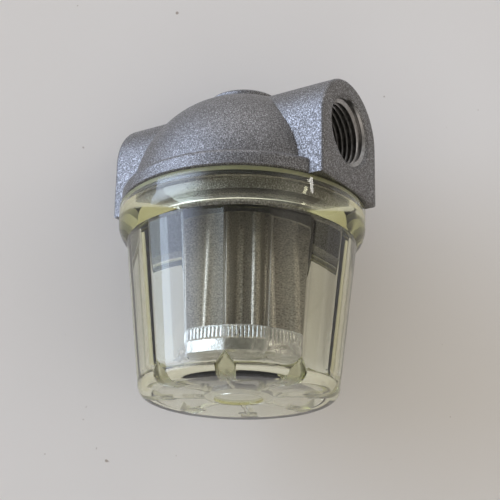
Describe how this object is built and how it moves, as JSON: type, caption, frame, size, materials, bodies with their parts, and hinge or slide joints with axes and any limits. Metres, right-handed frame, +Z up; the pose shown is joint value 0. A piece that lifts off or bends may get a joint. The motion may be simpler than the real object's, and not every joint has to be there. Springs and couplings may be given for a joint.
{
  "type": "return line filter",
  "caption": "Small inline return line filter: cast head with an inlet and an outlet port, clear screw-on bowl and a pleated mesh element.",
  "frame": {"origin": "centre of the bowl's flat bottom, where the filter stands", "axes": "+Z up along the bowl axis, +X out of the outlet port, -X out of the inlet port"},
  "size_m": [0.0602, 0.06, 0.0759],
  "materials": {
    "cast_aluminium": "satin, grainy die casting",
    "clear_bowl": "clear, slightly yellow in thick sections",
    "black_rubber": "matt",
    "steel_mesh": "fine woven mesh",
    "steel_cap": "bright pressed sheet"
  },
  "bodies": {
    "head": {"head_casting": "cast_aluminium", "bowl_seal": "black_rubber"},
    "element": {"element_bottom_cap": "steel_cap", "element_mesh": "steel_mesh", "element_core": "steel_cap", "element_top_cap": "steel_cap", "element_seal": "black_rubber"},
    "bowl": {"bowl": "clear_bowl"}
  },
  "joints": [
    {"name": "element_draw", "type": "slide", "parent": "head", "child": "element", "axis": [0, 0, -1], "range_m": [0, 0.0061]},
    {"name": "bowl_turn", "type": "hinge", "parent": "element", "child": "bowl", "pos_m": [0, 0, 0.0416], "axis": [0, 0, -1], "range_deg": [0, 1080]}
  ],
  "couplings": [
    {"joint": "element_draw", "follows": "bowl_turn", "m_per_rad": 0.00031831}
  ]
}
